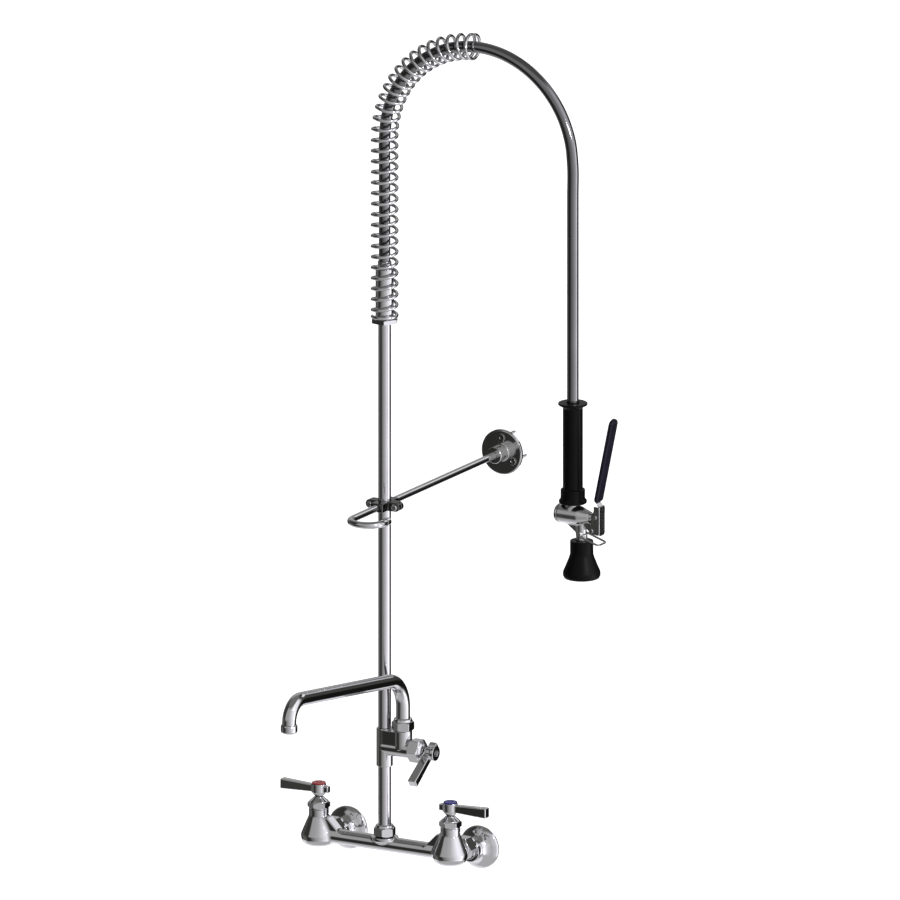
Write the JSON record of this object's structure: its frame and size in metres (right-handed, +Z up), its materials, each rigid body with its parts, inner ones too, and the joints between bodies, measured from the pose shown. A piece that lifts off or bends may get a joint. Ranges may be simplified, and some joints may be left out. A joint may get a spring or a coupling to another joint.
{
  "type": "pre-rinse faucet",
  "caption": "Wall-mounted pre-rinse faucet: two lever valves, riser with wall bracket, swinging spout, overhead spring and hose, squeeze spray valve.",
  "frame": {"origin": "midway between the two supply inlets, on the wall plane", "axes": "+X along the bar to the cold side, +Y into the wall, +Z up along the riser"},
  "size_m": [0.5158, 0.667, 1.1793],
  "materials": {
    "chrome": "polished chrome plate over brass",
    "dark_chrome": "polished chrome plate that reflects a dark room",
    "polished_pipe": "polished chrome-plated pipe",
    "satin_hose": "satin stainless hose jacket",
    "spring_steel": "plated spring wire",
    "screw_steel": "machined stainless steel",
    "brass": "machined brass",
    "black_grip": "moulded black plastic, light sheen",
    "black_rubber": "moulded black rubber",
    "navy_coating": "dipped dark blue vinyl coating",
    "red_index": "gloss red enamel",
    "blue_index": "gloss blue enamel",
    "seal_rubber": "black nitrile rubber"
  },
  "bodies": {
    "fixed_frame": {"body_casting": "chrome", "riser_base_nut": "chrome", "lower_riser": "polished_pipe", "addon_body": "chrome", "addon_cartridge": "brass", "addon_cap_nut": "chrome", "spout_nut": "chrome", "spout_seal": "seal_rubber", "upper_riser": "polished_pipe", "clamp_front_half": "dark_chrome", "clamp_rear_half": "dark_chrome", "clamp_screw_left": "screw_steel", "clamp_screw_right": "screw_steel", "hook_rod": "dark_chrome", "hook_tip": "chrome", "bracket_rod": "dark_chrome", "wall_plate": "dark_chrome", "plate_screw_1": "screw_steel", "plate_screw_2": "screw_steel", "plate_screw_3": "screw_steel", "spring_collar": "chrome", "hot_supply_arm": "chrome", "hot_wall_flange": "chrome", "hot_coupling_nut": "chrome", "hot_cartridge": "brass", "hot_cap_nut": "chrome", "cold_supply_arm": "chrome", "cold_wall_flange": "chrome", "cold_coupling_nut": "chrome", "cold_cartridge": "brass", "cold_cap_nut": "chrome"},
    "hot_valve_handle": {"hot_handle": "chrome", "hot_stem": "brass", "hot_handle_screw": "screw_steel", "hot_index_button": "red_index"},
    "cold_valve_handle": {"cold_handle": "chrome", "cold_stem": "brass", "cold_handle_screw": "screw_steel", "cold_index_button": "blue_index"},
    "spout_valve_handle": {"addon_handle": "chrome", "addon_stem": "brass", "addon_handle_screw": "screw_steel"},
    "swing_spout": {"spout_tube": "chrome", "spout_outlet_ring": "chrome"},
    "overhead_arch": {"hose_sleeve": "chrome", "overhead_spring": "spring_steel", "hose_arch": "satin_hose"},
    "hanging_hose": {"hose_drop": "satin_hose"},
    "spray_valve": {"grip": "black_grip", "spray_body": "chrome", "valve_cap": "chrome", "valve_spring": "spring_steel", "bumper": "black_rubber", "spray_face": "chrome"},
    "squeeze_lever": {"lever_channel": "chrome", "lever_blade": "navy_coating", "lever_pin": "screw_steel", "contact_pin": "screw_steel"},
    "water_valve_stem": {"valve_stem": "screw_steel"},
    "hold_open_bail": {"bail": "chrome"}
  },
  "joints": [
    {"name": "hot_handle_turn", "type": "hinge", "parent": "fixed_frame", "child": "hot_valve_handle", "pos_m": [-0.1016, -0.0796, 0.064], "axis": [0, 0, 1], "range_deg": [0, 90]},
    {"name": "cold_handle_turn", "type": "hinge", "parent": "fixed_frame", "child": "cold_valve_handle", "pos_m": [0.1016, -0.0796, 0.064], "axis": [0, 0, 1], "range_deg": [-90, 0]},
    {"name": "spout_valve_turn", "type": "hinge", "parent": "fixed_frame", "child": "spout_valve_handle", "pos_m": [0.0625, -0.0796, 0.1445], "axis": [1, 0, 0], "range_deg": [-90, 0]},
    {"name": "spout_swing", "type": "hinge", "parent": "fixed_frame", "child": "swing_spout", "pos_m": [0.0284, -0.0796, 0.1875], "axis": [0, 0, 1], "range_deg": [-46, 100]},
    {"name": "overhead_swing", "type": "hinge", "parent": "fixed_frame", "child": "overhead_arch", "pos_m": [0, -0.0796, 0.7403], "axis": [0, 0, 1], "range_deg": [-180, 10]},
    {"name": "hose_flex", "type": "hinge", "parent": "overhead_arch", "child": "hanging_hose", "pos_m": [0.2908, -0.0796, 0.905], "axis": [0, 1, 0], "range_deg": [-25, 25], "stiffness_Nm_per_rad": 2, "deforming": ["hose_arch", "hose_drop"]},
    {"name": "spray_swivel", "type": "hinge", "parent": "hanging_hose", "child": "spray_valve", "pos_m": [0.2908, -0.0796, 0.64], "axis": [0, 0, 1], "range_deg": [-180, 180]},
    {"name": "lever_squeeze", "type": "hinge", "parent": "spray_valve", "child": "squeeze_lever", "pos_m": [0.3238, -0.0796, 0.4871], "axis": [0, -1, 0], "range_deg": [0, 15], "stiffness_Nm_per_rad": 1.5, "springref_deg": -8.59},
    {"name": "stem_travel", "type": "slide", "parent": "spray_valve", "child": "water_valve_stem", "axis": [-1, 0, 0], "range_m": [0, 0.0052], "deforming": ["valve_spring"]},
    {"name": "bail_flip", "type": "hinge", "parent": "spray_valve", "child": "hold_open_bail", "pos_m": [0.3045, -0.0796, 0.479], "axis": [0, -1, 0], "range_deg": [-12, 15]}
  ],
  "couplings": [
    {"joint": "stem_travel", "follows": "lever_squeeze", "m_per_rad": 0.0193}
  ]
}
